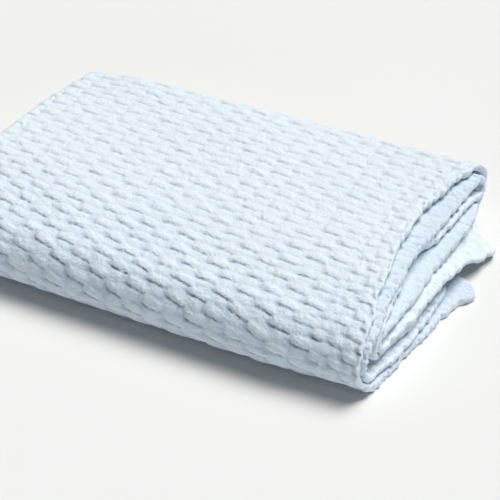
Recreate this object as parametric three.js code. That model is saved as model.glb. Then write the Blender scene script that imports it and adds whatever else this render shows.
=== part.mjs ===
// A baby blanket of thick, lofty woven cotton, folded flat and lying on a surface.
// The cloth is one piece. It is folded in half across its width, with that fold at the left end,
// and then in half twice along its length, so that eight layers lie on each other.
// The edges of the eight layers show at the right end, where the lower ones reach further out.
// Units are millimetres. X runs along the bundle to its right end, Y runs to its back, Z is up.

import * as THREE from "three";

// Driving sizes of the cloth
const clothWidth = 760;
const clothThick = 5.6;

// Driving sizes of the folded bundle
const frontFace = -134;
const backFace = 130.5;
const layerPitch = 6.5;
const stripGap = 0.8;
const bundleMiddle = [14.5, -1.7];

// The looseness of its turns. The back and inner wraps swell past the pitch of the strips, the inner
// wrap lies back from the front one, and the inner layer turns short of the outer one at the back.
const backSwell = 3.2;
const innerSwell = 1.3;
const swellReach = 30;
const innerTuck = 16;
const backSlack = 3;
const slackReach = 0.25;
const curlReach = 28;

// How finely the cloth is divided
const foldSteps = 6;
const layerSteps = 9;
const runSteps = 11;
const wrapSteps = 9;
const cornerSteps = [1.5, 4, 8];
const edgeSteps = [14, 28];

// A strip is two layers of the cloth, joined by the fold at the left end
const stripPitch = 2 * layerPitch + stripGap;
const stripHalf = (layerPitch + clothThick) / 2;
const stripHeight = (level) => stripHalf + level * stripPitch;

// The four levels of strips, from the bottom of the bundle to its top
const bottomStrip = stripHeight(0);
const lowerStrip = stripHeight(1);
const upperStrip = stripHeight(2);
const topStrip = stripHeight(3);
const bundleHeight = topStrip + stripHalf;

// The three wraps where the strips turn back: each is an arc in the YZ plane
const frontWrap = {
  y: frontFace + 1.5 * stripPitch + stripHalf,
  z: (bottomStrip + topStrip) / 2,
  radius: 1.5 * stripPitch,
};
const backWrap = {
  y: backFace - 0.5 * stripPitch - backSwell - stripHalf,
  z: (upperStrip + topStrip) / 2 - backSwell,
  radius: 0.5 * stripPitch + backSwell,
};
const innerWrap = {
  y: frontWrap.y + innerTuck,
  z: (lowerStrip + upperStrip) / 2,
  radius: 0.5 * stripPitch + innerSwell,
};

// Where the two free edges at the back of the lower half lie along Y, at the left end and at the
// right end, with the power of their sweep from one to the other
const bottomFreeEdge = { left: 76, right: 35 };
const lowerFreeEdge = { left: 84, right: 86 };
const freeEdgeSweep = 5;

// Where the cloth's edges and its fold lie along X, at stations along the strips.
// Station 0 is the bottom free edge, 1 to 2 the front wrap, 3 to 4 the back wrap,
// 5 to 6 the inner wrap and 7 the free edge of the lower strip.
// Columns: station, x of the fold, x of the outer layer's edge, x of the inner layer's edge,
// and how far the outer layer's edge curls outwards.
const edgeTable = [
  { station: 0.0, fold: -178, outer: 216, inner: 175, curl: 0 },
  { station: 0.12, fold: -178, outer: 217, inner: 192, curl: 0 },
  { station: 0.23, fold: -179, outer: 208, inner: 198, curl: 0 },
  { station: 0.4, fold: -180, outer: 202.5, inner: 198, curl: 0 },
  { station: 0.8, fold: -181, outer: 194.5, inner: 194, curl: 0 },
  { station: 1.0, fold: -181, outer: 190, inner: 187, curl: 0 },
  { station: 1.5, fold: -181, outer: 182, inner: 184, curl: 0 },
  { station: 2.0, fold: -180, outer: 179, inner: 184, curl: 0 },
  { station: 2.2, fold: -180, outer: 171, inner: 179, curl: 0.5 },
  { station: 2.45, fold: -180, outer: 164.5, inner: 176, curl: 1 },
  { station: 2.66, fold: -178, outer: 164, inner: 180, curl: 1.5 },
  { station: 2.85, fold: -175, outer: 170.5, inner: 183, curl: 1 },
  { station: 3.0, fold: -172, outer: 179, inner: 186, curl: 0.5 },
  { station: 3.3, fold: -169, outer: 186, inner: 188, curl: 0 },
  { station: 3.6, fold: -169, outer: 187, inner: 189, curl: 0 },
  { station: 4.0, fold: -172, outer: 188, inner: 189, curl: 0 },
  { station: 4.2, fold: -174, outer: 194, inner: 185, curl: 1 },
  { station: 4.4, fold: -176, outer: 191.5, inner: 181, curl: 1 },
  { station: 4.54, fold: -176, outer: 189, inner: 172, curl: 1 },
  { station: 4.75, fold: -176, outer: 189, inner: 177.5, curl: 0.5 },
  { station: 5.0, fold: -176, outer: 184, inner: 183, curl: 0 },
  { station: 5.5, fold: -176, outer: 184, inner: 184, curl: 0 },
  { station: 6.0, fold: -176, outer: 187, inner: 184, curl: 0 },
  { station: 6.25, fold: -178, outer: 194, inner: 193, curl: 0 },
  { station: 6.5, fold: -178, outer: 198, inner: 191, curl: 0 },
  { station: 6.7, fold: -178, outer: 203, inner: 177, curl: -3.5 },
  { station: 6.87, fold: -178, outer: 211, inner: 174, curl: -13 },
  { station: 7.0, fold: -178, outer: 221, inner: 168, curl: -19 },
];

// The cloth's four corners are rounded. Near them a station is about as long as its run.
const cornerRound = 20;
const firstRun = 182;
const lastRun = 175;

// How the bundle settles out of true, as soft shifts of the whole stack. Each grows over its reach
// from nothing to its full size at the bundle's end, at endX to either side of the middle.
const endX = 185;
const crown = { height: 3.2, y: 12, halfDepth: 128, halfLength: 205 };
const frontEase = { right: 4.5, left: 3, reach: 80, fromY: -40, toY: -130 };
const frontSag = { down: 6, fromY: -40, toY: -145 };
const backLeftEase = { back: 8, down: 2, reach: 60, fromY: 50, toY: 125 };
const backRightLift = { up: 1, reach: 75, fromY: 60, toY: 120 };
const ripple = { height: 0.8, lengthX: 47, lengthY: 38 };

// A smooth step from 0 to 1 between two places
function ease(from, to, at) {
  const part = Math.min(Math.max((at - from) / (to - from), 0), 1);
  return part * part * (3 - 2 * part);
}

// A column of the table of edges, read smoothly at any station
function edgeAt(column, station) {
  const last = edgeTable.length - 1;
  let row = 0;
  while (row < last - 1 && edgeTable[row + 1].station < station) {
    row += 1;
  }
  const from = edgeTable[row];
  const to = edgeTable[row + 1];
  return from[column] + (to[column] - from[column]) * ease(from.station, to.station, station);
}

// Where a layer's edge lies along X, drawn in at the rounded corners
function layerEdge(side, station) {
  const toEnd = Math.min(station * firstRun, (7 - station) * lastRun);
  const short = Math.max(1 - toEnd / cornerRound, 0);
  return edgeAt(side, station) - cornerRound * (1 - Math.sqrt(1 - short ** 2));
}

// A straight run of a strip, which swells towards the wraps at its ends
function runPoint(y, height, wraps) {
  let z = height;
  for (const wrap of wraps) {
    const extra = wrap.radius - Math.abs(height - wrap.z);
    z += Math.sign(height - wrap.z) * extra * ease(swellReach, 0, Math.abs(y - wrap.y));
  }
  return [y, z];
}

// A point of a wrap. Side is -1 at the front and 1 at the back, rise is 1 for a turn upwards and
// -1 for one downwards, and part runs from 0 at its start to 1 at its end.
function wrapPoint(wrap, side, rise, part) {
  const angle = Math.PI * (part - 0.5);
  return [wrap.y + side * wrap.radius * Math.cos(angle), wrap.z + rise * wrap.radius * Math.sin(angle)];
}

// The middle of the strip in the YZ plane at a station. The free edges depend on the place along X,
// and slack is how far short of the back the strip turns.
function stripMiddle(station, along, slack) {
  const part = station - Math.floor(station);
  const sweep = along ** freeEdgeSweep;
  const bottomEdge = bottomFreeEdge.left + (bottomFreeEdge.right - bottomFreeEdge.left) * sweep;
  const lowerEdge = lowerFreeEdge.left + (lowerFreeEdge.right - lowerFreeEdge.left) * sweep;
  const backTurn = backWrap.y - slack;
  const between = (from, to) => from + (to - from) * part;
  if (station < 1) return runPoint(between(bottomEdge, frontWrap.y), bottomStrip, []);
  if (station < 2) return wrapPoint(frontWrap, -1, 1, part);
  if (station < 3) return runPoint(between(frontWrap.y, backTurn), topStrip, [backWrap]);
  if (station < 4) {
    const top = runPoint(backTurn, topStrip, [backWrap])[1];
    const low = runPoint(backTurn, upperStrip, [backWrap])[1];
    return wrapPoint({ y: backTurn, z: (top + low) / 2, radius: (top - low) / 2 }, 1, -1, part);
  }
  if (station < 5) return runPoint(between(backTurn, innerWrap.y), upperStrip, [backWrap, innerWrap]);
  if (station < 6) return wrapPoint(innerWrap, -1, -1, part);
  return runPoint(innerWrap.y + (lowerEdge - innerWrap.y) * (station - 6), lowerStrip, [innerWrap]);
}

// The direction across the strip, towards its outer layer
function stripNormal(station, along, slack) {
  const small = 0.002;
  const before = stripMiddle(Math.max(station - small, 0), along, slack);
  const after = stripMiddle(Math.min(station + small, 7), along, slack);
  const dy = after[0] - before[0];
  const dz = after[1] - before[1];
  const length = Math.hypot(dy, dz);
  return [-dz / length, dy / length];
}

// A point of the folded cloth. Across runs from -1 at the outer layer's edge, through 0 at the
// fold, to 1 at the inner layer's edge. Depth is measured from the cloth's middle, outwards.
function foldedPoint(across, station, depth) {
  const foldShare = (Math.PI * layerPitch) / 2 / clothWidth;
  const side = across < 0 ? "outer" : "inner";
  const foldX = edgeAt("fold", station);
  let x = foldX;
  let off = 0;
  if (Math.abs(across) < foldShare) {
    const angle = (across / foldShare) * (Math.PI / 2);
    x -= (layerPitch / 2 + depth) * Math.cos(angle);
    off = -(layerPitch / 2 + depth) * Math.sin(angle);
  } else {
    const part = (Math.abs(across) - foldShare) / (1 - foldShare);
    x += (layerEdge(side, station) - foldX) * part;
    off = (across < 0 ? 1 : -1) * (layerPitch / 2 + depth);
  }
  const along = Math.min(Math.max((x - foldX) / (clothWidth / 2), 0), 1);
  if (across < 0) {
    const edgeX = layerEdge(side, station);
    off += edgeAt("curl", station) * ease(edgeX - curlReach, edgeX, x);
  }
  const slack = backSlack * ease(foldShare, slackReach, across);
  const middle = stripMiddle(station, along, slack);
  const normal = stripNormal(station, along, slack);
  const y = middle[0] + normal[0] * off;
  const z = middle[1] + normal[1] * off;
  return settled(new THREE.Vector3(x, y, z));
}

// The soft shifts that crown the bundle and round its corners, growing from its flat base
function settled(point) {
  const { x, y, z } = point;
  const rise = z / bundleHeight;
  const within = (shift, end) => {
    return ease(end * (endX - shift.reach), end * endX, x) * ease(shift.fromY, shift.toY, y);
  };
  const backLeft = within(backLeftEase, -1);
  const depthBell = 1 - ((y - crown.y) / crown.halfDepth) ** 2;
  const lengthBell = 1 - (x / crown.halfLength) ** 4;
  const waves = Math.sin(x / ripple.lengthX + 1) * Math.sin(y / ripple.lengthY);
  point.y += frontEase.right * within(frontEase, 1) + frontEase.left * within(frontEase, -1);
  point.y -= backLeftEase.back * backLeft;
  point.z += rise * (crown.height * depthBell * lengthBell + ripple.height * waves);
  point.z -= rise * frontSag.down * ease(frontSag.fromY, frontSag.toY, y);
  point.z += rise * (backRightLift.up * within(backRightLift, 1) - backLeftEase.down * backLeft);
  return point;
}

// Stations along the strips and places across the cloth
function stations() {
  const list = [];
  for (let piece = 0; piece < 7; piece += 1) {
    const steps = piece % 2 === 0 ? runSteps : wrapSteps;
    for (let step = 0; step < steps; step += 1) list.push(piece + step / steps);
  }
  list.push(7);
  // More stations where the corners round off
  for (const nearEnd of cornerSteps) list.push(nearEnd / firstRun, 7 - nearEnd / lastRun);
  return list.sort((a, b) => a - b);
}
function places() {
  const foldShare = (Math.PI * layerPitch) / 2 / clothWidth;
  const list = [];
  for (let step = 0; step < layerSteps; step += 1) list.push(-1 + ((1 - foldShare) * step) / layerSteps);
  for (let step = 0; step < foldSteps; step += 1) list.push(foldShare * ((2 * step) / foldSteps - 1));
  for (let step = 0; step <= layerSteps; step += 1) {
    list.push(foldShare + ((1 - foldShare) * step) / layerSteps);
  }
  // More places where the edge of the outer layer curls
  for (const fromEdge of edgeSteps) list.push(fromEdge / (clothWidth / 2) - 1);
  return list.sort((a, b) => a - b);
}

// One closed skin: the cloth's two faces, and a rim round its edge
function clothGeometry() {
  const along = stations();
  const across = places();
  const positions = [];
  const faces = [];
  const index = (side, i, j) => (side * along.length + j) * across.length + i;
  for (const side of [0, 1]) {
    for (const station of along) {
      for (const place of across) {
        const point = foldedPoint(place, station, (side - 0.5) * clothThick);
        positions.push(point.x - bundleMiddle[0], point.y - bundleMiddle[1], point.z);
      }
    }
  }
  const quad = (a, b, c, d) => faces.push(a, b, c, a, c, d);
  for (let j = 0; j < along.length - 1; j += 1) {
    for (let i = 0; i < across.length - 1; i += 1) {
      quad(index(1, i, j), index(1, i, j + 1), index(1, i + 1, j + 1), index(1, i + 1, j));
      quad(index(0, i, j), index(0, i + 1, j), index(0, i + 1, j + 1), index(0, i, j + 1));
    }
  }
  const endPlace = across.length - 1;
  const endStation = along.length - 1;
  for (let j = 0; j < endStation; j += 1) {
    quad(index(0, 0, j), index(0, 0, j + 1), index(1, 0, j + 1), index(1, 0, j));
    const rim = [index(0, endPlace, j + 1), index(0, endPlace, j), index(1, endPlace, j)];
    quad(...rim, index(1, endPlace, j + 1));
  }
  for (let i = 0; i < endPlace; i += 1) {
    quad(index(0, i + 1, 0), index(0, i, 0), index(1, i, 0), index(1, i + 1, 0));
    const rim = [index(0, i, endStation), index(0, i + 1, endStation), index(1, i + 1, endStation)];
    quad(...rim, index(1, i, endStation));
  }
  const geometry = new THREE.BufferGeometry();
  geometry.setAttribute("position", new THREE.Float32BufferAttribute(positions, 3));
  geometry.setIndex(faces);
  return geometry;
}

function blanket() {
  const cotton = new THREE.MeshStandardMaterial({ color: "#cfe2ee", roughness: 0.95, metalness: 0 });
  const mesh = new THREE.Mesh(clothGeometry(), cotton);
  mesh.name = "blanket";
  return mesh;
}

const model = new THREE.Group();
model.add(blanket());

export default model;
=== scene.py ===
"""A baby blanket of thick, lofty basket-woven cotton, folded flat and lying on a pale surface.

The cloth is one sheet. It is folded in half across its width, with that fold at the left end, and
then in half twice along its length. Every point of it comes from its place across the cloth and its
station along the cloth, as in the part's source, and the weave's floats and grooves are modelled on
both faces. Sizes are in millimetres until the mesh is made, which is in metres.
"""
import math

import bpy
import numpy as np
from mathutils import Matrix, Vector, noise


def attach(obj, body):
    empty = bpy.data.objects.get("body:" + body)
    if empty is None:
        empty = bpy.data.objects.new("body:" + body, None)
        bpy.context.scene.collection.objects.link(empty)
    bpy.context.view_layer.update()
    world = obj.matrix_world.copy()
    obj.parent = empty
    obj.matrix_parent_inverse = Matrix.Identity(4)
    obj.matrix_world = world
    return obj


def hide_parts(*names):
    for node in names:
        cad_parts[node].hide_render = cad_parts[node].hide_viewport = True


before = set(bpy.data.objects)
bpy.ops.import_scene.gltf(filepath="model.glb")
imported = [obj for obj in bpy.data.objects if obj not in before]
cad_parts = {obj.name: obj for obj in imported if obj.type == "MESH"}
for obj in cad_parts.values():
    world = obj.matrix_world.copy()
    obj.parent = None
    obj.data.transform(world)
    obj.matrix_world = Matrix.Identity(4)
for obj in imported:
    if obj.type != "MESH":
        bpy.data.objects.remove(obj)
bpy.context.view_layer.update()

MM = 0.001

# The cloth, cut flat
CLOTH_WIDTH = 760.0
CLOTH_LENGTH = 900.0
CLOTH_THICK = 5.6

# The folded bundle, as in the part's source
FRONT_FACE = -134.0
BACK_FACE = 130.5
LAYER_PITCH = 6.5
STRIP_GAP = 0.8
BUNDLE_MIDDLE = (14.5, -1.7)

# The looseness of its turns
BACK_SWELL = 3.2
INNER_SWELL = 1.3
SWELL_REACH = 30.0
INNER_TUCK = 16.0
BACK_SLACK = 3.0
SLACK_REACH = 0.25
CURL_REACH = 28.0

# A strip is two layers of the cloth, joined by the fold at the left end. There are four levels.
STRIP_PITCH = 2 * LAYER_PITCH + STRIP_GAP
STRIP_HALF = (LAYER_PITCH + CLOTH_THICK) / 2
BOTTOM_STRIP, LOWER_STRIP, UPPER_STRIP, TOP_STRIP = (
    STRIP_HALF + level * STRIP_PITCH for level in range(4)
)
BUNDLE_HEIGHT = TOP_STRIP + STRIP_HALF
FOLD_SHARE = math.pi * LAYER_PITCH / 2 / CLOTH_WIDTH

# The wraps where the strips turn back: the y and z of each middle, and its radius
FRONT_WRAP = (
    FRONT_FACE + 1.5 * STRIP_PITCH + STRIP_HALF,
    (BOTTOM_STRIP + TOP_STRIP) / 2,
    1.5 * STRIP_PITCH,
)
BACK_WRAP = (
    BACK_FACE - 0.5 * STRIP_PITCH - BACK_SWELL - STRIP_HALF,
    (UPPER_STRIP + TOP_STRIP) / 2 - BACK_SWELL,
    0.5 * STRIP_PITCH + BACK_SWELL,
)
INNER_WRAP = (
    FRONT_WRAP[0] + INNER_TUCK,
    (LOWER_STRIP + UPPER_STRIP) / 2,
    0.5 * STRIP_PITCH + INNER_SWELL,
)

# Where the free edges at the back of the lower half lie along Y, at the left end and the right end
BOTTOM_FREE_EDGE = (76.0, 35.0)
LOWER_FREE_EDGE = (84.0, 86.0)
FREE_EDGE_SWEEP = 5

# Where the fold and the edges of the outer and inner layers lie along X, and how far the outer
# layer's edge curls outwards, at stations along the strips. Station 0 is the bottom free edge,
# 1 to 2 the front wrap, 3 to 4 the back wrap, 5 to 6 the inner wrap and 7 the other free edge.
EDGE_COLUMNS = ("station", "fold", "outer", "inner", "curl")
EDGE_TABLE = (
    (0.0, -178, 216, 175, 0),
    (0.12, -178, 217, 192, 0),
    (0.23, -179, 208, 198, 0),
    (0.4, -180, 202.5, 198, 0),
    (0.8, -181, 194.5, 194, 0),
    (1.0, -181, 190, 187, 0),
    (1.5, -181, 182, 184, 0),
    (2.0, -180, 179, 184, 0),
    (2.2, -180, 171, 179, 0.5),
    (2.45, -180, 164.5, 176, 1),
    (2.66, -178, 164, 180, 1.5),
    (2.85, -175, 170.5, 183, 1),
    (3.0, -172, 179, 186, 0.5),
    (3.3, -169, 186, 188, 0),
    (3.6, -169, 187, 189, 0),
    (4.0, -172, 188, 189, 0),
    (4.2, -174, 194, 185, 1),
    (4.4, -176, 191.5, 181, 1),
    (4.54, -176, 189, 172, 1),
    (4.75, -176, 189, 177.5, 0.5),
    (5.0, -176, 184, 183, 0),
    (5.5, -176, 184, 184, 0),
    (6.0, -176, 187, 184, 0),
    (6.25, -178, 194, 193, 0),
    (6.5, -178, 198, 191, 0),
    (6.7, -178, 203, 177, -3.5),
    (6.87, -178, 211, 174, -13),
    (7.0, -178, 221, 168, -19),
)
LAST_STATION = 7

# The cloth's corners are rounded. Near them a station is about as long as its run.
CORNER_ROUND = 20.0
FIRST_RUN = 182.0
LAST_RUN = 175.0

# How the bundle settles out of true
END_X = 185.0
CROWN = {"height": 3.2, "y": 12.0, "half_depth": 128.0, "half_length": 205.0}
FRONT_EASE = {"right": 4.5, "left": 3.0, "reach": 80.0, "from_y": -40.0, "to_y": -130.0}
FRONT_SAG = {"down": 6.0, "from_y": -40.0, "to_y": -145.0}
BACK_LEFT_EASE = {"back": 8.0, "down": 2.0, "reach": 60.0, "from_y": 50.0, "to_y": 125.0}
BACK_RIGHT_LIFT = {"up": 1.0, "reach": 75.0, "from_y": 60.0, "to_y": 120.0}
RIPPLE = {"height": 0.8, "length_x": 47.0, "length_y": 38.0}

# The weave. Floats lie along X in rows, and every second row is moved on by half a period. Under
# the front side of each float is a short narrow groove, and the rest of a row merges with the next.
FLOAT_PERIOD = 32.7
ROW_SPACING = 8.65
ROW_TILT = 0.0408
COLUMN_LEAN = 0.0577
FIRST_FLOAT = (-4.5, 428.0)
FLOAT_SHARE = 0.76
FLOAT_WIDE = 9.4
FLOAT_SLANT = {"flat": 0.12, "bent": 0.24}
FLOAT_RISE = 1.35
BLOCK_SHARE = 0.4
BLOCK_WIDE = 11.0
BLOCK_RISE = 1.0
PILLOW_POWER = 2.2
GROOVE_SHARE = {"flat": 0.42, "bent": 0.5}
GROOVE_BELOW = 4.1
GROOVE_SLANT = {"flat": 0.06, "bent": 0.19}
GROOVE_BACK = 0.9
GROOVE_FRONT = 1.4
GROOVE_END = (1.2, 2.4)
GROOVE_MIDDLE = 0.7
GROOVE_DEPTH = 0.65
NOTCH_DEPTH = 1.05
NOTCH_WIDE = 1.4
NOTCH_SLANT = 0.1
NOTCH_REACH = (5.5, 3.5)
LINE_REACH = 2.6
LINE_FULL = 0.55 * LINE_REACH

# No two floats are quite alike. These are the most that each differs: its shifts in millimetres,
# its block's shift too, its lean as a slope, and its length, plumpness and groove as shares.
UNEVEN = {
    "right": 1.8,
    "down": 0.9,
    "lean": 0.08,
    "length": 0.1,
    "plump": 0.16,
    "block": 0.8,
    "groove": 0.12,
    "strength": 0.35,
}

# Along the side edges the weave has a shorter period, and the inner face of the cloth is calmer
BORDER_WIDE = 28.0
BORDER_PERIOD = 20.0
INNER_CALM = {"outer": 0.4, "inner": 0.9}
RIM_CALM = 0.9
RIM_SWELL = 0.45

# The ends of the floats make the edges lumpy, less so near the cloth's corners. The lumps stand out
# and are thicker by these millimetres, and come at uneven places.
LUMP_PERIOD = 11.0
LUMP_OUT = 0.9
LUMP_THICK = 0.5
LUMP_REACH = 14.0
LUMP_DRIFT = {"turns": 14.0, "length": 40.0}
LUMP_SHARE = {"even": 0.6, "small": 1.1}
SMALL_LUMPS = 8
CORNER_EVEN = 0.7
CORNER_REACH = 70.0

# The weave opens and shades more where it bends round the front wrap. This starts at one station on
# the top, is full at the wrap's upper part, fades below it and ends on the bottom. The layer inside
# the wrap opens less.
BEND_RELIEF = 0.1
BEND_FROM = 2.5
BEND_TO = 1.75
BEND_FADE = {"from": 1.75, "to": 1.2, "share": 0.3}
BEND_END = (0.7, 1.0)
BEND_INSIDE = 0.3

# How strong and how wide the painted shadow line in a groove is, and how much painted shade, a darker
# blue, the hollows between the floats and the inner face of the cloth take
LINE_STRENGTH = {"flat": 0.27, "bent": 1.05}
LINE_WIDENS = 0.2
HOLLOW_SHADE = {"flat": 0.05, "bent": 0.55}
INNER_SHADE = 0.25

# How the yarns wander: the size of the wander in millimetres and the size of its waves
WANDER = ((1.3, 31.0), (0.8, 11.0))


def ease(start, end, at):
    """A smooth step from 0 to 1 between two places."""
    part = np.clip((at - start) / (end - start), 0, 1)
    return part * part * (3 - 2 * part)


def edge_at(column, station):
    """A column of the table of edges, read smoothly at any station."""
    table = np.array(EDGE_TABLE)
    places, values = table[:, 0], table[:, EDGE_COLUMNS.index(column)]
    row = np.clip(np.searchsorted(places, station) - 1, 0, len(places) - 2)
    part = ease(places[row], places[row + 1], station)
    return values[row] + (values[row + 1] - values[row]) * part


def run_height(y, height, wraps):
    """The height of a straight run of a strip, which swells towards the wraps at its ends."""
    z = np.full_like(y, height)
    for wrap_y, wrap_z, radius in wraps:
        extra = radius - abs(height - wrap_z)
        z = z + np.sign(height - wrap_z) * extra * ease(SWELL_REACH, 0, np.abs(y - wrap_y))
    return z


def strip_middle(station, along, slack):
    """The y and z of the strip's middle. Slack is how far short of the back it turns."""
    part = station - np.floor(station)
    sweep = along**FREE_EDGE_SWEEP
    bottom_edge = BOTTOM_FREE_EDGE[0] + (BOTTOM_FREE_EDGE[1] - BOTTOM_FREE_EDGE[0]) * sweep
    lower_edge = LOWER_FREE_EDGE[0] + (LOWER_FREE_EDGE[1] - LOWER_FREE_EDGE[0]) * sweep
    back_turn = BACK_WRAP[0] - slack
    turn_top = run_height(back_turn, TOP_STRIP, [BACK_WRAP])
    turn_low = run_height(back_turn, UPPER_STRIP, [BACK_WRAP])
    angle = math.pi * (part - 0.5)

    def run(start, end, share, height, wraps):
        y = start + (end - start) * share
        return y, run_height(y, height, wraps)

    def turn(y, z, radius, side, rise):
        return y + side * radius * np.cos(angle), z + rise * radius * np.sin(angle)

    pieces = (
        run(bottom_edge, FRONT_WRAP[0], part, BOTTOM_STRIP, []),
        turn(*FRONT_WRAP, -1, 1),
        run(FRONT_WRAP[0], back_turn, part, TOP_STRIP, [BACK_WRAP]),
        turn(back_turn, (turn_top + turn_low) / 2, (turn_top - turn_low) / 2, 1, -1),
        run(back_turn, INNER_WRAP[0], part, UPPER_STRIP, [BACK_WRAP, INNER_WRAP]),
        turn(*INNER_WRAP, -1, -1),
        run(INNER_WRAP[0], lower_edge, station - 6, LOWER_STRIP, [INNER_WRAP]),
    )
    which = [np.minimum(np.floor(station), 6) == number for number in range(7)]
    return np.select(which, [p[0] for p in pieces]), np.select(which, [p[1] for p in pieces])


def strip_normal(station, along, slack):
    """The direction across the strip, towards its outer layer."""
    small = 0.002
    y0, z0 = strip_middle(np.maximum(station - small, 0), along, slack)
    y1, z1 = strip_middle(np.minimum(station + small, LAST_STATION), along, slack)
    length = np.hypot(y1 - y0, z1 - z0)
    return -(z1 - z0) / length, (y1 - y0) / length


def settled(x, y, z):
    """The soft shifts that crown the bundle and round its corners, growing from its flat base."""
    rise = z / BUNDLE_HEIGHT

    def within(shift, end):
        near_end = ease(end * (END_X - shift["reach"]), end * END_X, x)
        return near_end * ease(shift["from_y"], shift["to_y"], y)

    back_left = within(BACK_LEFT_EASE, -1)
    depth_bell = 1 - ((y - CROWN["y"]) / CROWN["half_depth"]) ** 2
    length_bell = 1 - (x / CROWN["half_length"]) ** 4
    waves = np.sin(x / RIPPLE["length_x"] + 1) * np.sin(y / RIPPLE["length_y"])
    front = FRONT_EASE["right"] * within(FRONT_EASE, 1) + FRONT_EASE["left"] * within(FRONT_EASE, -1)
    lift = CROWN["height"] * depth_bell * length_bell + RIPPLE["height"] * waves
    lift = lift - FRONT_SAG["down"] * ease(FRONT_SAG["from_y"], FRONT_SAG["to_y"], y)
    lift = lift + BACK_RIGHT_LIFT["up"] * within(BACK_RIGHT_LIFT, 1) - BACK_LEFT_EASE["down"] * back_left
    return (
        x - BUNDLE_MIDDLE[0],
        y + front - BACK_LEFT_EASE["back"] * back_left - BUNDLE_MIDDLE[1],
        z + rise * lift,
    )


def layer_place(across, station, depth):
    """x and the offset from the strip's middle, with the x of the layer's fold and of its edge."""
    fold = edge_at("fold", station)
    edge = np.where(across < 0, edge_at("outer", station), edge_at("inner", station))
    to_end = np.minimum(station * FIRST_RUN, (LAST_STATION - station) * LAST_RUN)
    short = np.clip(1 - to_end / CORNER_ROUND, 0, 1)
    edge = edge - CORNER_ROUND * (1 - np.sqrt(1 - short**2))
    radius = LAYER_PITCH / 2 + depth
    angle = np.clip(across / FOLD_SHARE, -1, 1) * math.pi / 2
    part = (np.abs(across) - FOLD_SHARE) / (1 - FOLD_SHARE)
    in_fold = np.abs(across) < FOLD_SHARE
    x = np.where(in_fold, fold - radius * np.cos(angle), fold + (edge - fold) * part)
    offset = np.where(in_fold, -radius * np.sin(angle), -np.sign(across) * radius)
    return x, offset, fold, edge


def folded(across, station, depth, push=0):
    """A point of the folded cloth. Across runs from -1 at the outer layer's edge, through 0 at the
    fold, to 1 at the inner layer's edge. Depth is from the cloth's middle, outwards. Push is how far
    the point stands out to the right."""
    x, offset, fold, edge = layer_place(across, station, depth)
    x = x + push
    along = np.clip((x - fold) / (CLOTH_WIDTH / 2), 0, 1)
    curl = edge_at("curl", station) * ease(edge - CURL_REACH, edge, x)
    offset = offset + np.where(across < 0, curl, 0)
    slack = BACK_SLACK * ease(FOLD_SHARE, SLACK_REACH, across)
    y, z = strip_middle(station, along, slack)
    normal_y, normal_z = strip_normal(station, along, slack)
    return settled(x, y + normal_y * offset, z + normal_z * offset)


def outer_lengths():
    """Stations with the length along the outer layer's outer face at each, in the middle of X."""
    station = np.linspace(0, LAST_STATION, 1401)
    part = (0 - edge_at("fold", station)) / (edge_at("outer", station) - edge_at("fold", station))
    across = -(FOLD_SHARE + part * (1 - FOLD_SHARE))
    path = np.stack(folded(across, station, np.full_like(station, CLOTH_THICK / 2)), 1)
    steps = np.linalg.norm(np.diff(path, axis=0), axis=1)
    return station, np.concatenate([[0], np.cumsum(steps)])


def scatter(row, column, kind):
    """An even scatter from -1 to 1 for each float, which is the same on every run."""
    mixed = np.sin(row * 127.1 + column * 311.7 + kind * 74.7) * 43758.5453
    return 2 * (mixed - np.floor(mixed)) - 1


def pillow(a, b):
    """A rounded pillow over the ellipse-like patch where |a| and |b| are under 1."""
    inside = np.clip(1 - np.abs(a) ** PILLOW_POWER - np.abs(b) ** PILLOW_POWER, 0, 1)
    return inside ** (1 / PILLOW_POWER)


def blend(pair, bent):
    """A value between its size on the flat cloth and its size where the cloth bends."""
    return pair["flat"] + (pair["bent"] - pair["flat"]) * bent


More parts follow.
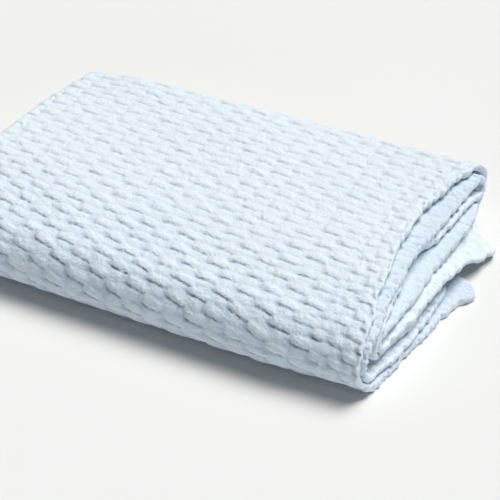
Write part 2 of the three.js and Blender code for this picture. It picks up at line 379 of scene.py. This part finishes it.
def weave(right, down, period, bent):
    """The relief of the weave in millimetres, from 0 on the floats down into the grooves. Also how
    far each point is from the middle line of its groove, and how much it is in the groove's reach."""
    float_slant = blend(FLOAT_SLANT, bent)
    groove_slant = blend(GROOVE_SLANT, bent)
    groove_share = blend(GROOVE_SHARE, bent)
    rise = np.zeros_like(right)
    depth = np.zeros_like(right)
    line = np.full_like(right, LINE_REACH)
    reach = np.zeros_like(right)
    middle_row = np.round(down / ROW_SPACING)
    for row_step in (-1, 0, 1):
        row = middle_row + row_step
        start = np.where(row % 2 == 0, 0, period / 2)
        middle_column = np.round((right - start) / period)
        for column_step in (-1, 0, 1):
            column = middle_column + column_step
            across = right - start - column * period + UNEVEN["right"] * scatter(row, column, 1)
            below = down - row * ROW_SPACING + UNEVEN["down"] * scatter(row, column, 2)
            lean = UNEVEN["lean"] * scatter(row, column, 3)
            half_long = FLOAT_SHARE * period * (1 + UNEVEN["length"] * scatter(row, column, 4)) / 2
            plump = 1 + UNEVEN["plump"] * scatter(row, column, 5)
            off_rope = 2 * (below - (float_slant + lean) * across) / FLOAT_WIDE
            rope = pillow(across / half_long, off_rope)
            off_block = across - period / 2 + UNEVEN["block"] * scatter(row, column, 6)
            block = pillow(off_block / (BLOCK_SHARE * period / 2), 2 * below / BLOCK_WIDE)
            rise = np.maximum(rise, np.maximum(FLOAT_RISE * plump * rope, BLOCK_RISE * block))
            off = below - GROOVE_BELOW - (groove_slant + lean) * across
            half_groove = groove_share * period * (1 + UNEVEN["groove"] * scatter(row, column, 7)) / 2
            along = ease(half_groove + GROOVE_END[0], half_groove - GROOVE_END[1], np.abs(across))
            dip = GROOVE_MIDDLE + (1 - GROOVE_MIDDLE) * (across / half_groove) ** 2
            strength = along * dip * (1 + UNEVEN["strength"] * scatter(row, column, 8))
            wide = np.where(off < 0, GROOVE_BACK, GROOVE_FRONT)
            groove = strength * np.exp(-((off / wide) ** 2))
            near = strength * ease(LINE_REACH, LINE_FULL, np.abs(off))
            line = np.where(near > reach, off, line)
            reach = np.maximum(reach, near)
            end = across + groove_share * period / 2 - NOTCH_SLANT * below
            beside = ease(*NOTCH_REACH, np.abs(below))
            notch = NOTCH_DEPTH * np.exp(-((end / NOTCH_WIDE) ** 2)) * beside
            depth = np.maximum(depth, np.maximum(GROOVE_DEPTH * groove, notch))
    return rise - FLOAT_RISE - depth, line, reach


def wander(x, length, seed):
    """A smooth uneven shift in millimetres, the same on every run."""
    total = np.zeros_like(x)
    for size, wave in WANDER:
        total += [size * noise.noise((a / wave, b / wave, seed)) for a, b in zip(x, length)]
    return total


def edge_lumps(across, length, seed):
    """The lumps along an edge, from about -1 to 1, at uneven places."""
    wave = LUMP_DRIFT["length"]
    places = [(at / wave, float(layer), seed) for at, layer in zip(length, np.sign(across))]
    drift = np.array([noise.noise(place) for place in places])
    small = np.array([noise.noise((SMALL_LUMPS * place[0], place[1], seed)) for place in places])
    even = np.sin(2 * math.pi * length / LUMP_PERIOD + LUMP_DRIFT["turns"] * drift)
    return LUMP_SHARE["even"] * even + LUMP_SHARE["small"] * small


def weave_at(x, length, to_edge, bent):
    """The weave at a place on the cloth, with its border along the side edges."""
    x, length = x + wander(x, length, 3.5), length + wander(x, length, 8.5)
    down = -(length - FIRST_FLOAT[1]) - ROW_TILT * (x - FIRST_FLOAT[0])
    right = (x - FIRST_FLOAT[0]) - COLUMN_LEAN * down
    field = weave(right, down, FLOAT_PERIOD, bent)
    border = weave(-to_edge, down, BORDER_PERIOD, bent)
    inside = ease(BORDER_WIDE - 4, BORDER_WIDE + 4, to_edge)
    in_field = inside > 0.5
    relief = border[0] + (field[0] - border[0]) * inside
    reach = np.where(in_field, field[2], border[2]) * np.abs(2 * inside - 1)
    return relief, np.where(in_field, field[1], border[1]), reach


# The grid of the cloth: coarse cells, each divided into up to eighths where it shows
EIGHTHS = 8
RIM_STEPS = (0.0, 3.0, 10.0, 26.0)
LAYER_CELLS = 17
RUN_CELLS = (14, 9, 23, 6, 15, 3, 14)
SHOWING = (0.95, 3.95)

# The rim is rounded off, and the weave grows from it over these distances. Where the cloth lies
# hidden between its own layers, its face is plain at the weave's mean height.
RIM_ROUND = 2.0
RIM_FLAT = 3.0
RIM_REACH = 20.0
LINE_FROM_RIM = 1.5
PLAIN_RELIEF = -0.6


def eighths(lines):
    """Every line of the grid, with seven more between it and the next."""
    parts = np.arange(EIGHTHS) / EIGHTHS
    between = lines[:-1, None] + np.diff(lines)[:, None] * parts
    return np.append(between.ravel(), lines[-1])


def across_lines():
    """Lines across the cloth, close together at the edges and round the fold."""
    half = CLOTH_WIDTH / 2
    fold = FOLD_SHARE * half
    inner = np.linspace(RIM_STEPS[-1], half - 1.6 * fold, LAYER_CELLS)
    from_edge = np.array([*RIM_STEPS[:-1], *inner, half - fold, half - fold / 2])
    across = from_edge / half - 1
    return np.array([*across, 0, *-across[::-1]])


def station_lines(lengths):
    """Lines along the cloth, close together at its two free edges."""
    lines = []
    for number, cells in enumerate(RUN_CELLS):
        lines.extend(number + np.arange(cells) / cells)
    first, last = lengths
    rim = np.array(RIM_STEPS)
    lines = [line for line in lines if rim[-1] / first < line < LAST_STATION - rim[-1] / last]
    return np.array([*(rim / first), *lines, *(LAST_STATION - rim[::-1] / last)])


def cell_level(side, across, station, from_edge, from_end):
    """How often a cell is halved across and along the cloth, and if its weave is modelled. The
    outer face of the outer layer shows from the front wrap to the back wrap."""
    if side == 1 and across < -FOLD_SHARE and SHOWING[0] < station < SHOWING[1]:
        return 3, 3, True
    if from_edge < RIM_STEPS[1]:
        return 2, 3, True
    if from_edge < RIM_STEPS[2]:
        return 1, 3, True
    if from_edge < RIM_STEPS[3]:
        return 2, 2, True
    if abs(across) < 2 * FOLD_SHARE:
        return (2, 2, True) if side == 1 else (1, 1, False)
    if from_end < RIM_STEPS[3]:
        return 2, 2, True
    turning = int(station) % 2 == 1
    return (0, 2, False) if turning else (0, 0, False)


def cloth_mesh():
    """The cloth as one closed skin: its two faces, joined round its edge."""
    stations, lengths = outer_lengths()
    first = np.interp(1, stations, lengths)
    last = lengths[-1] - np.interp(LAST_STATION - 1, stations, lengths)
    across_cells = across_lines()
    station_cells = station_lines((first, last))
    across = eighths(across_cells)
    station = eighths(station_cells)
    shape = (2, len(across), len(station))
    used = np.zeros(shape, bool)
    woven = np.zeros(shape, bool)
    cells = []
    half = CLOTH_WIDTH / 2
    for side in (0, 1):
        for i in range(len(across_cells) - 1):
            middle = (across_cells[i] + across_cells[i + 1]) / 2
            from_edge = half * (1 - abs(middle))
            for j in range(len(station_cells) - 1):
                at = (station_cells[j] + station_cells[j + 1]) / 2
                from_end = min(at * first, (LAST_STATION - at) * last)
                level_across, level_along, is_woven = cell_level(side, middle, at, from_edge, from_end)
                step_i, step_j = EIGHTHS >> level_across, EIGHTHS >> level_along
                i0, j0 = EIGHTHS * i, EIGHTHS * j
                used[side, i0 : i0 + EIGHTHS + 1 : step_i, j0 : j0 + EIGHTHS + 1 : step_j] = True
                if is_woven:
                    woven[side, i0 : i0 + EIGHTHS + 1, j0 : j0 + EIGHTHS + 1] = True
                cells.append((side, i0, j0, step_i, step_j))
    rim = np.zeros(shape[1:], bool)
    rim[[0, -1], :] = True
    rim[:, [0, -1]] = True
    used[:, rim] = used[:, rim].any(0)
    numbers = np.full(shape, -1)
    own = used.copy()
    own[1, rim] = False
    numbers[own] = np.arange(own.sum())
    numbers[1, rim] = numbers[0, rim]
    faces, sides = cell_faces(cells, numbers)
    side, i, j = np.nonzero(own)
    length = np.interp(station[j], stations, lengths)
    points, line, reach, painted_shade = cloth_points(
        side, across[i], station[j], length, woven[side, i, j], (first, last)
    )
    mesh = bpy.data.meshes.new("blanket_cloth")
    mesh.from_pydata(points * MM, [], faces)
    mesh.update()
    mesh.shade_smooth()
    for name, values in (("groove_line", line), ("groove_shadow_strength", reach), ("painted_shade", painted_shade)):
        mesh.attributes.new(name, "FLOAT", "POINT").data.foreach_set("value", values)
    lay_flat(mesh, sides, across[i], length / lengths[-1])
    return mesh


def cell_faces(cells, numbers):
    """The faces of every cell, with the points that a finer neighbour adds to its edges."""
    faces, sides = [], []
    for side, i0, j0, step_i, step_j in cells:
        grid = numbers[side]
        for i in range(i0, i0 + EIGHTHS, step_i):
            for j in range(j0, j0 + EIGHTHS, step_j):
                i1, j1 = i + step_i, j + step_j
                loop = [
                    *grid[i, j:j1],
                    *grid[i:i1, j1],
                    *grid[i1, j1:j:-1],
                    *grid[i1:i:-1, j],
                ]
                loop = [int(number) for number in loop if number >= 0]
                faces.append(loop if side == 1 else loop[::-1])
                sides.append(side)
    return faces, sides


def cloth_points(side, across, station, length, woven, run_lengths):
    """The places of the cloth's points in millimetres, with each point's place in its groove and how
    much painted shade it takes.
    """
    x, _, fold, edge = layer_place(across, station, 0)
    to_edge = (edge - fold) * (1 - np.abs(across))
    to_end = np.minimum(station * run_lengths[0], (LAST_STATION - station) * run_lengths[1])
    to_rim = np.minimum(to_edge, to_end)
    # The weave runs on round the fold at the left end
    round_fold = math.pi * (LAYER_PITCH + CLOTH_THICK) / 4
    in_fold = -round_fold * (1 + np.clip(across / FOLD_SHARE, -1, 1))
    past_fold = np.where(np.abs(across) > FOLD_SHARE, x - fold, 0)
    flat_x = fold + in_fold + np.where(across < 0, 1, -1) * past_fold
    bent = ease(BEND_FROM, BEND_TO, station) * ease(*BEND_END, station)
    bent = bent * np.where(across < 0, 1, BEND_INSIDE)
    bent = bent * (1 - BEND_FADE["share"] * ease(BEND_FADE["from"], BEND_FADE["to"], station))
    relief, line, reach = weave_at(flat_x + side * FLOAT_PERIOD / 2, length, to_edge, bent)
    # Painted shade: the hollows between the floats take a darker blue, more where the weave bends, and
    # the whole inner face takes it evenly
    painted_shade = np.clip(-relief / (FLOAT_RISE + GROOVE_DEPTH), 0, 1) * blend(HOLLOW_SHADE, bent)
    painted_shade = np.where(side == 1, painted_shade, INNER_SHADE)
    painted_shade = np.where(woven | (side == 0), painted_shade, 0)
    relief = np.where(woven, relief, PLAIN_RELIEF)
    calm = RIM_CALM + (1 - RIM_CALM) * ease(RIM_FLAT, RIM_REACH, to_rim)
    inner_calm = np.where(across < 0, INNER_CALM["outer"], INNER_CALM["inner"])
    calm = calm * np.where(side == 1, 1, inner_calm)
    calm = calm * (1 + BEND_RELIEF * bent)
    lumps = LUMP_THICK * edge_lumps(across, length, 6.5) * ease(LUMP_REACH, 0, to_rim)
    face = CLOTH_THICK / 2 + RIM_SWELL * ease(RIM_REACH, RIM_FLAT, to_rim) + relief * calm + lumps
    rounding = 1.0
    for distance in (to_edge, to_end):
        rounding = rounding * np.sqrt(1 - np.clip(1 - distance / RIM_ROUND, 0, 1) ** 2)
    depth = np.where(side == 1, face, -face) * rounding
    out = LUMP_OUT * (1 - CORNER_EVEN * ease(CORNER_REACH, 0, to_end))
    push = out * edge_lumps(across, length, 2.5) * ease(LUMP_REACH, 0, to_edge)
    points = np.stack(folded(across, station, depth, push), 1)
    points[:, 2] = np.maximum(points[:, 2], 0)
    # Painted shadow: how strongly the line in each groove is darkened in the colour
    reach = reach * calm * blend(LINE_STRENGTH, bent)
    in_weave = woven & (to_rim > LINE_FROM_RIM)
    return points, line / (1 + LINE_WIDENS * bent), np.where(in_weave, reach, 0), painted_shade


def lay_flat(mesh, sides, across, length):
    """A UV map with the cloth laid flat: its inner face on the left and its outer on the right."""
    loop_face = np.repeat(np.arange(len(mesh.polygons)), [len(p.vertices) for p in mesh.polygons])
    vertex = np.zeros(len(mesh.loops), int)
    mesh.loops.foreach_get("vertex_index", vertex)
    u = 0.25 * (across[vertex] + 1) + 0.5 * np.array(sides)[loop_face]
    flat = np.stack([u, length[vertex]], 1)
    mesh.uv_layers.new(name="laid_flat").data.foreach_set("uv", flat.ravel())


# The colours of the cotton: its lighter and darker patches, and the painted shade of its hollows and
# painted shadow lines in its grooves
PATCH_COLOURS = ("#e4eff9", "#eaf4fc")
PAINTED_HOLLOW_SHADE = "#a3b6c8"
PAINTED_GROOVE_SHADOW = "#74899c"
FLOOR_COLOURS = ("#eae9e6", "#ebebe8")

# The sizes in millimetres of what the yarn shows: its fibres along and across it, its loose hairs,
# its slubs, the wavering of a groove's line, and the patches of dye
FIBRE = (6.0, 1.3)
HAIR = 0.8
SLUB = 4.0
WAVER = 2.5
PATCH = 70.0

# The colour sockets of a Mix node
MIX_A, MIX_B, MIX_RESULT = 6, 7, 2


def linear(hex_colour):
    """An sRGB hex colour as linear RGBA."""
    values = [int(hex_colour[k : k + 2], 16) / 255 for k in (1, 3, 5)]
    return (*[v / 12.92 if v <= 0.04045 else ((v + 0.055) / 1.055) ** 2.4 for v in values], 1)


def add_node(tree, kind, inputs=(), **settings):
    """Adds a node with its settings. An input is a value, or the output socket that feeds it."""
    node = tree.nodes.new(kind)
    for name, value in settings.items():
        setattr(node, name, value)
    for name, value in dict(inputs).items():
        if isinstance(value, bpy.types.NodeSocket):
            tree.links.new(value, node.inputs[name])
        else:
            node.inputs[name].default_value = value
    return node


def new_material(name):
    material = bpy.data.materials.new(name)
    material.use_nodes = True
    material.node_tree.nodes.clear()
    return material, material.node_tree


def lofty_cotton(flat_length):
    """Thick soft-spun cotton yarn, basket woven: matte and slightly hairy, with painted shade in its
    grooves and hollows.
    """
    material, tree = new_material("lofty_woven_cotton")
    flat = add_node(tree, "ShaderNodeTexCoord").outputs["UV"]
    # UV units to millimetres of cloth
    cloth = add_node(
        tree,
        "ShaderNodeMapping",
        {"Vector": flat, "Scale": (2 * CLOTH_WIDTH, flat_length, 1)},
    ).outputs["Vector"]
    # The yarn's fibres run along the floats, as streaks about 1.2 mm wide so that they show
    streaks = add_node(
        tree, "ShaderNodeMapping", {"Vector": cloth, "Scale": (1 / FIBRE[0], 1 / FIBRE[1], 1)}
    ).outputs["Vector"]
    fibres = add_node(
        tree, "ShaderNodeTexNoise", {"Vector": streaks, "Scale": 1, "Detail": 3, "Roughness": 0.6}
    ).outputs["Fac"]
    # Loose hairs on the yarn, about 0.8 mm apart
    place = add_node(tree, "ShaderNodeTexCoord").outputs["Object"]
    fuzz = add_node(
        tree, "ShaderNodeTexNoise", {"Vector": place, "Scale": 1 / (HAIR * MM), "Detail": 2}
    ).outputs["Fac"]
    # The soft-spun yarn is thick and thin by turns, in lumps about 4 mm across
    slubs = add_node(
        tree, "ShaderNodeTexNoise", {"Vector": place, "Scale": 1 / (SLUB * MM), "Detail": 2}
    ).outputs["Fac"]
    # Patches of cloth a hand wide that took the dye a little differently
    patches = add_node(
        tree, "ShaderNodeTexNoise", {"Vector": place, "Scale": 1 / (PATCH * MM), "Detail": 1}
    ).outputs["Fac"]
    # A thin shadow line is painted into the colour in each groove, where the fuzz of the two yarns
    # meets. It wavers by half a millimetre and fades in and out.
    line = add_node(tree, "ShaderNodeAttribute", attribute_name="groove_line").outputs["Fac"]
    reach = add_node(tree, "ShaderNodeAttribute", attribute_name="groove_shadow_strength").outputs["Fac"]
    ragged = add_node(
        tree, "ShaderNodeTexNoise", {"Vector": place, "Scale": 1 / (WAVER * MM), "Detail": 2}
    ).outputs["Fac"]
    wavering = add_node(
        tree, "ShaderNodeMath", {0: ragged, 1: 3.0, 2: line}, operation="MULTIPLY_ADD"
    ).outputs[0]
    centred = add_node(tree, "ShaderNodeMath", {0: wavering, 1: 1.5}, operation="SUBTRACT").outputs[0]
    squared = add_node(tree, "ShaderNodeMath", {0: centred, 1: centred}, operation="MULTIPLY").outputs[0]
    fall = add_node(tree, "ShaderNodeMath", {0: squared, 1: -1.8}, operation="MULTIPLY").outputs[0]
    narrow = add_node(tree, "ShaderNodeMath", {0: fall}, operation="EXPONENT").outputs[0]
    broken = add_node(
        tree, "ShaderNodeMapRange", {"Value": slubs, "From Min": 0.3, "From Max": 0.6}
    ).outputs["Result"]
    partly = add_node(tree, "ShaderNodeMath", {0: broken, 1: reach}, operation="MULTIPLY").outputs[0]
    groove_shadow_and_dip = add_node(tree, "ShaderNodeMath", {0: narrow, 1: partly}, operation="MULTIPLY").outputs[0]
    yarn = add_node(
        tree,
        "ShaderNodeMix",
        {0: patches, MIX_A: linear(PATCH_COLOURS[0]), MIX_B: linear(PATCH_COLOURS[1])},
        data_type="RGBA",
    ).outputs[MIX_RESULT]
    # Painted shade: the hollows between the floats, and the inner face of the cloth, are mixed towards a
    # darker blue where shade would fall
    painted_shade = add_node(tree, "ShaderNodeAttribute", attribute_name="painted_shade").outputs["Fac"]
    shaded = add_node(
        tree, "ShaderNodeMix", {0: painted_shade, MIX_A: yarn, MIX_B: linear(PAINTED_HOLLOW_SHADE)}, data_type="RGBA"
    ).outputs[MIX_RESULT]
    with_groove_shadow = add_node(
        tree, "ShaderNodeMix", {0: groove_shadow_and_dip, MIX_A: shaded, MIX_B: linear(PAINTED_GROOVE_SHADOW)}, data_type="RGBA"
    ).outputs[MIX_RESULT]
    # All of the yarn's small relief: fibres and hairs, slubs, and the line sunk in the groove
    yarn_relief = add_node(
        tree, "ShaderNodeMath", {0: fibres, 1: 0.5, 2: fuzz}, operation="MULTIPLY_ADD"
    ).outputs[0]
    yarn_relief = add_node(
        tree, "ShaderNodeMath", {0: slubs, 1: 3.0, 2: yarn_relief}, operation="MULTIPLY_ADD"
    ).outputs[0]
    relief = add_node(
        tree, "ShaderNodeMath", {0: groove_shadow_and_dip, 1: -1.4, 2: yarn_relief}, operation="MULTIPLY_ADD"
    ).outputs[0]
    bump = add_node(
        tree, "ShaderNodeBump", {"Height": relief, "Strength": 0.8, "Distance": 0.7 * MM}
    ).outputs["Normal"]
    surface = add_node(
        tree,
        "ShaderNodeBsdfPrincipled",
        {
            "Base Color": with_groove_shadow,
            "Roughness": 0.95,
            "Specular IOR Level": 0.2,
            "Sheen Weight": 0.25,
            "Sheen Roughness": 0.5,
            "Subsurface Weight": 0.3,
            "Subsurface Radius": (1, 1, 1),
            "Subsurface Scale": 1.5 * MM,
            "Normal": bump,
        },
    ).outputs["BSDF"]
    add_node(tree, "ShaderNodeOutputMaterial", {"Surface": surface})
    return material


def matte_floor():
    """Smooth matte card: a plain pale surface with no gloss."""
    material, tree = new_material("matte_card")
    place = add_node(tree, "ShaderNodeTexCoord").outputs["Object"]
    mottle = add_node(
        tree, "ShaderNodeTexNoise", {"Vector": place, "Scale": 6, "Detail": 1}
    ).outputs["Fac"]
    colour = add_node(
        tree,
        "ShaderNodeMix",
        {0: mottle, MIX_A: linear(FLOOR_COLOURS[0]), MIX_B: linear(FLOOR_COLOURS[1])},
        data_type="RGBA",
    ).outputs[MIX_RESULT]
    surface = add_node(
        tree,
        "ShaderNodeBsdfPrincipled",
        {"Base Color": colour, "Roughness": 1.0, "Specular IOR Level": 0.0},
    ).outputs["BSDF"]
    add_node(tree, "ShaderNodeOutputMaterial", {"Surface": surface})
    return material


def add_blanket():
    """The folded blanket, in place of its plain solid."""
    mesh = cloth_mesh()
    blanket = bpy.data.objects.new("blanket_cloth", mesh)
    bpy.context.scene.collection.objects.link(blanket)
    mesh.materials.append(lofty_cotton(CLOTH_LENGTH))
    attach(blanket, "root")
    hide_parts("blanket")
    return blanket


def add_floor():
    """A wide pale floor, level with the bottom of the bundle."""
    bpy.ops.object.select_all(action="DESELECT")
    bpy.ops.mesh.primitive_plane_add(size=12)
    floor = bpy.context.object
    floor.name = "floor"
    floor.data.materials.append(matte_floor())


# The faint light from all round: its colour and strength
DAYLIGHT = ("#e4f0e0", 0.03)

# The lights from one side each: where it comes from, its spread in degrees, its power and colour.
# Two wide ones overhead light the top from a little behind, a faint one fills the front, and a low
# cool one lights the front and the right end.
SUNS = (
    ("overhead_softbox", (0.14, 0.3, 0.94), 38, 1.78, "#ffffff"),
    ("back_softbox", (0.18, 0.48, 0.85), 36, 1.76, "#ffffff"),
    ("front_softbox", (0.25, -0.65, 0.7), 40, 0.1, "#eef6ff"),
    ("low_window_light", (0.72, -0.69, 0.03), 28, 1.13, "#dcecff"),
)


def add_sun(name, direction, spread, power, colour):
    """A wide soft light from one direction, as even as a large overhead softbox."""
    lamp = bpy.data.lights.new(name, "SUN")
    lamp.angle = math.radians(spread)
    lamp.energy = power
    lamp.color = linear(colour)[:3]
    light = bpy.data.objects.new(name, lamp)
    light.rotation_euler = Vector(direction).to_track_quat("Z", "Y").to_euler()
    bpy.context.scene.collection.objects.link(light)


def add_daylight(colour, strength):
    """Even light from all round."""
    world = bpy.data.worlds.new("soft_room")
    bpy.context.scene.world = world
    world.use_nodes = True
    backdrop = world.node_tree.nodes["Background"]
    backdrop.inputs["Color"].default_value = linear(colour)
    backdrop.inputs["Strength"].default_value = strength


# The camera, from the straight edges of the bundle in the photo
CAMERA_FOCAL_PIXELS = 1400.0
PICTURE_PIXELS = 500.0
SENSOR_WIDE = 36.0
CAMERA_ELEVATION = 36.0
CAMERA_AZIMUTH = 25.5
CAMERA_ROLL = 1.0
CAMERA_AWAY = 1106.6
CAMERA_TARGET = (37.66, -0.46)


def add_camera():
    """The camera at the photo's angle, with its roll."""
    azimuth, elevation, roll = (
        math.radians(angle) for angle in (CAMERA_AZIMUTH, CAMERA_ELEVATION, CAMERA_ROLL)
    )
    back = Vector(
        (
            math.sin(azimuth) * math.cos(elevation),
            -math.cos(azimuth) * math.cos(elevation),
            math.sin(elevation),
        )
    )
    level = Vector((math.cos(azimuth), math.sin(azimuth), 0))
    upright = back.cross(level)
    right = math.cos(roll) * level + math.sin(roll) * upright
    up = math.cos(roll) * upright - math.sin(roll) * level
    target = Vector((CAMERA_TARGET[0] - BUNDLE_MIDDLE[0], CAMERA_TARGET[1] - BUNDLE_MIDDLE[1], 0))
    turn = Matrix((right, up, back)).transposed()
    lens = bpy.data.cameras.new("camera")
    lens.sensor_width = SENSOR_WIDE
    lens.lens = SENSOR_WIDE * CAMERA_FOCAL_PIXELS / PICTURE_PIXELS
    lens.clip_end = 100
    camera = bpy.data.objects.new("camera", lens)
    camera.matrix_world = Matrix.Translation((target + CAMERA_AWAY * back) * MM) @ turn.to_4x4()
    bpy.context.scene.collection.objects.link(camera)
    bpy.context.scene.camera = camera


add_camera()
add_floor()
add_blanket()
add_daylight(*DAYLIGHT)
for sun in SUNS:
    add_sun(*sun)
bpy.context.scene.view_settings.view_transform = "Standard"
